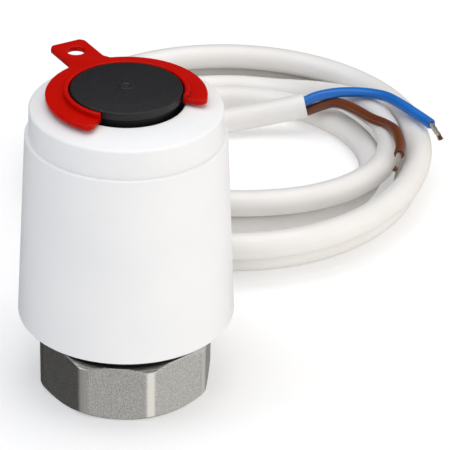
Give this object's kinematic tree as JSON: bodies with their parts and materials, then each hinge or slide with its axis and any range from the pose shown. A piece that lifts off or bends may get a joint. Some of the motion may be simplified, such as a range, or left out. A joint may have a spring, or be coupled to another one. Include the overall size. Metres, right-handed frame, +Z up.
{
  "type": "thermal actuator head",
  "caption": "Electrothermal valve actuator head: white tapered housing, rising indicator disc with red lock clip, union nut and coiled two-core lead.",
  "frame": {"origin": "on the main axis, level with the bottom face of the union nut", "axes": "+Z up along the housing's axis towards the indicator disc, -Y the front, the cable leaves at the back at 120 degrees from +X and the clip's tab points to 135 degrees"},
  "size_m": [0.0932, 0.1508, 0.0632],
  "materials": {
    "white_shell": "fine satin moulded",
    "black_body": "satin moulded",
    "black_indicator": "finely textured moulded",
    "red_clip": "semi-gloss moulded",
    "natural_plastic": "moulded",
    "nickel": "nickel plated, blasted satin",
    "spring_steel": "drawn",
    "brass": "turned",
    "black_rubber": "matt",
    "heater_ceramic": "sintered",
    "white_pvc": "extruded, slightly glossy",
    "blue_pvc": "extruded",
    "brown_pvc": "extruded",
    "tinned_copper": "tinned strands with a copper end"
  },
  "bodies": {
    "head": {"outer_cover": "white_shell", "top_cap": "white_shell", "base_body": "black_body", "cover_seal": "black_rubber", "guide_bush": "brass", "stem_seal": "black_rubber", "nut_retaining_ring": "spring_steel", "closing_spring": "spring_steel", "element_carrier": "natural_plastic", "contact_plate_lower": "brass", "contact_plate_upper": "brass", "heater_disc": "heater_ceramic", "wax_element": "brass", "cable_entry": "white_pvc", "cable_saddle": "natural_plastic", "cable_strap": "natural_plastic", "clamp_screw_left": "spring_steel", "clamp_screw_right": "spring_steel", "crimp_blue": "tinned_copper", "inner_core_blue": "blue_pvc", "crimp_brown": "tinned_copper", "inner_core_brown": "brown_pvc", "cable_lead": "white_pvc", "cable_coil": "white_pvc", "cable_tail": "white_pvc", "core_blue": "blue_pvc", "core_brown": "brown_pvc", "strands_blue": "tinned_copper", "strands_brown": "tinned_copper"},
    "nut": {"union_nut": "nickel"},
    "lift": {"lift_yoke": "natural_plastic", "pressure_foot": "natural_plastic", "indicator_stem": "black_indicator", "indicator_disc": "black_indicator", "wax_piston": "spring_steel"},
    "clip": {"lock_clip": "red_clip"}
  },
  "joints": [
    {"name": "nut_spin", "type": "hinge", "parent": "head", "child": "nut", "pos_m": [0, 0, 0.006], "axis": [0, 0, 1], "continuous": true},
    {"name": "lift_stroke", "type": "slide", "parent": "head", "child": "lift", "axis": [0, 0, 1], "range_m": [-0.0028, 0], "deforming": ["closing_spring"]},
    {"name": "clip_pull", "type": "slide", "parent": "head", "child": "clip", "axis": [0, 0, 1], "range_m": [0, 0.012]}
  ]
}
